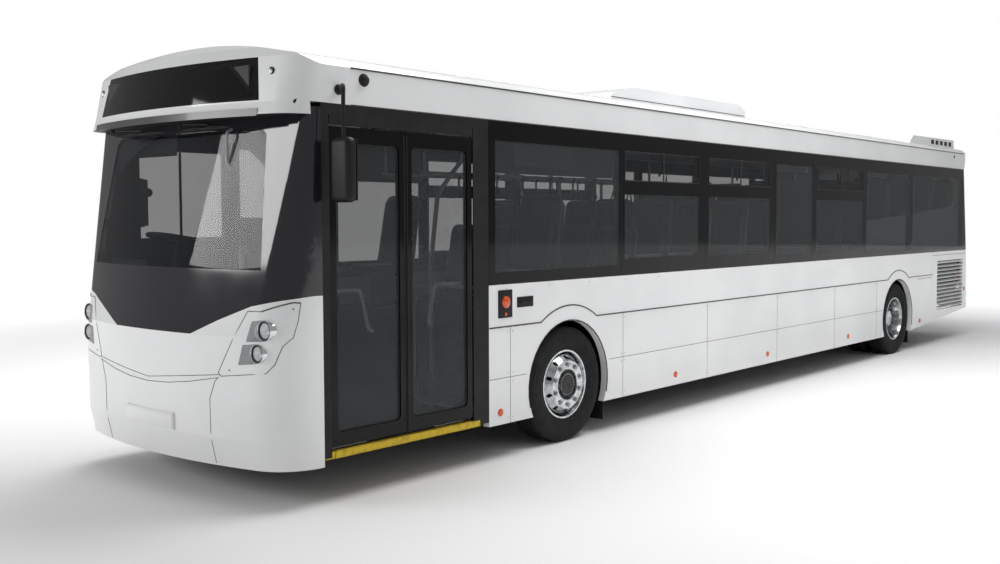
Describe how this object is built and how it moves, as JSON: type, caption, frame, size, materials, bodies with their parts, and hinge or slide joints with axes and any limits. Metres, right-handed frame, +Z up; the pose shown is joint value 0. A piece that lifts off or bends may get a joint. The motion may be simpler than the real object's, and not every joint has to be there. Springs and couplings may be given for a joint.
{
  "type": "single-deck city bus",
  "caption": "Single-deck two-axle city bus in white with a domed front, black-framed glazing, a double inward-swinging front door and a rear engine door.",
  "frame": {"origin": "on the ground under the middle of the bus's length and width", "axes": "+X points to the nose, +Y to the door side (the bus's left), +Z up"},
  "size_m": [13.2499, 3.024, 3.105],
  "materials": {
    "white_paint": "gloss",
    "grey_paint": "satin",
    "black_trim": "gloss",
    "black_plastic": "matte",
    "tinted_glass": "gloss",
    "clear_glass": "gloss",
    "polished_rim": "gloss",
    "steel": "rough",
    "tyre_rubber": "matte",
    "flap_rubber": "matte",
    "floor_covering": "matte",
    "seat_shell": "matte",
    "seat_fabric": "matte",
    "rail_steel": "satin",
    "step_yellow": "gloss",
    "lamp_lens": "gloss"
  },
  "bodies": {
    "body": {"windscreen": "clear_glass", "windscreen_surround": "black_trim", "front_corners": "white_paint", "front_bumper": "white_paint", "front_panel": "white_paint", "front_dome": "white_paint", "destination_glass": "tinted_glass", "roof": "white_paint", "roof_units": "white_paint", "side_panel_left": "white_paint", "side_panel_right": "white_paint", "side_grille": "white_paint", "window_frame_left": "black_trim", "window_frame_right": "black_trim", "side_glass_left": "tinted_glass", "side_glass_right": "tinted_glass", "rear_panel": "white_paint", "rear_glass": "tinted_glass", "door_frame": "black_trim", "door_step": "step_yellow", "floor": "floor_covering", "rear_deck": "floor_covering", "podiums": "floor_covering", "wheel_boxes": "floor_covering", "chassis_rails": "steel", "chassis_members": "steel", "engine": "steel", "front_axle": "steel", "rear_axle": "steel", "seats_left": "seat_shell", "seats_right": "seat_shell", "seat_pads": "seat_fabric", "driver_seat": "seat_shell", "dashboard": "black_plastic", "steering_wheel": "black_plastic", "cab_partition": "grey_paint", "grab_rails": "rail_steel", "mudflaps": "flap_rubber", "mirrors": "black_plastic", "wipers": "black_plastic", "lamps": "lamp_lens"},
    "engine_door": {"engine_door": "white_paint"},
    "door_crank_front": {"door_crank_front": "grey_paint"},
    "door_leaf_front": {"door_leaf_front": "black_plastic", "door_glass_front": "tinted_glass"},
    "door_crank_rear": {"door_crank_rear": "grey_paint"},
    "door_leaf_rear": {"door_leaf_rear": "black_plastic", "door_glass_rear": "tinted_glass"},
    "knuckle_left": {"knuckle_left": "steel"},
    "knuckle_right": {"knuckle_right": "steel"},
    "front_wheel_left": {"front_tyre_left": "tyre_rubber", "front_rim_left": "polished_rim"},
    "front_wheel_right": {"front_tyre_right": "tyre_rubber", "front_rim_right": "polished_rim"},
    "rear_wheels_left": {"rear_tyres_left": "tyre_rubber", "rear_rims_left": "polished_rim"},
    "rear_wheels_right": {"rear_tyres_right": "tyre_rubber", "rear_rims_right": "polished_rim"}
  },
  "joints": [
    {"name": "engine_door_hinge", "type": "hinge", "parent": "body", "child": "engine_door", "pos_m": [-6.542, 0, 1.262], "axis": [0, 1, 0], "range_deg": [0, 85]},
    {"name": "front_crank_turn", "type": "hinge", "parent": "body", "child": "door_crank_front", "pos_m": [6.101, 1.178, 1.4], "axis": [0, 0, 1], "range_deg": [0, 80]},
    {"name": "front_leaf_turn", "type": "hinge", "parent": "door_crank_front", "child": "door_leaf_front", "pos_m": [5.744, 1.178, 1.4], "axis": [0, 0, -1], "range_deg": [0, 160]},
    {"name": "rear_crank_turn", "type": "hinge", "parent": "body", "child": "door_crank_rear", "pos_m": [4.719, 1.178, 1.4], "axis": [0, 0, -1], "range_deg": [0, 80]},
    {"name": "rear_leaf_turn", "type": "hinge", "parent": "door_crank_rear", "child": "door_leaf_rear", "pos_m": [5.076, 1.178, 1.4], "axis": [0, 0, 1], "range_deg": [0, 160]},
    {"name": "steer_left", "type": "hinge", "parent": "body", "child": "knuckle_left", "pos_m": [3.585, 1.01, 0.478], "axis": [0, 0, 1], "range_deg": [-42, 42]},
    {"name": "steer_right", "type": "hinge", "parent": "body", "child": "knuckle_right", "pos_m": [3.585, -1.01, 0.478], "axis": [0, 0, 1], "range_deg": [-42, 42]},
    {"name": "front_wheel_left_spin", "type": "hinge", "parent": "knuckle_left", "child": "front_wheel_left", "pos_m": [3.585, 1.0875, 0.478], "axis": [0, 1, 0], "continuous": true},
    {"name": "front_wheel_right_spin", "type": "hinge", "parent": "knuckle_right", "child": "front_wheel_right", "pos_m": [3.585, -1.0875, 0.478], "axis": [0, 1, 0], "continuous": true},
    {"name": "rear_wheels_left_spin", "type": "hinge", "parent": "body", "child": "rear_wheels_left", "pos_m": [-3.665, 1.0875, 0.478], "axis": [0, 1, 0], "continuous": true},
    {"name": "rear_wheels_right_spin", "type": "hinge", "parent": "body", "child": "rear_wheels_right", "pos_m": [-3.665, -1.0875, 0.478], "axis": [0, 1, 0], "continuous": true}
  ],
  "couplings": [
    {"joint": "front_leaf_turn", "follows": "front_crank_turn", "ratio": 2},
    {"joint": "rear_leaf_turn", "follows": "rear_crank_turn", "ratio": 2},
    {"joint": "steer_right", "follows": "steer_left", "ratio": 1}
  ]
}
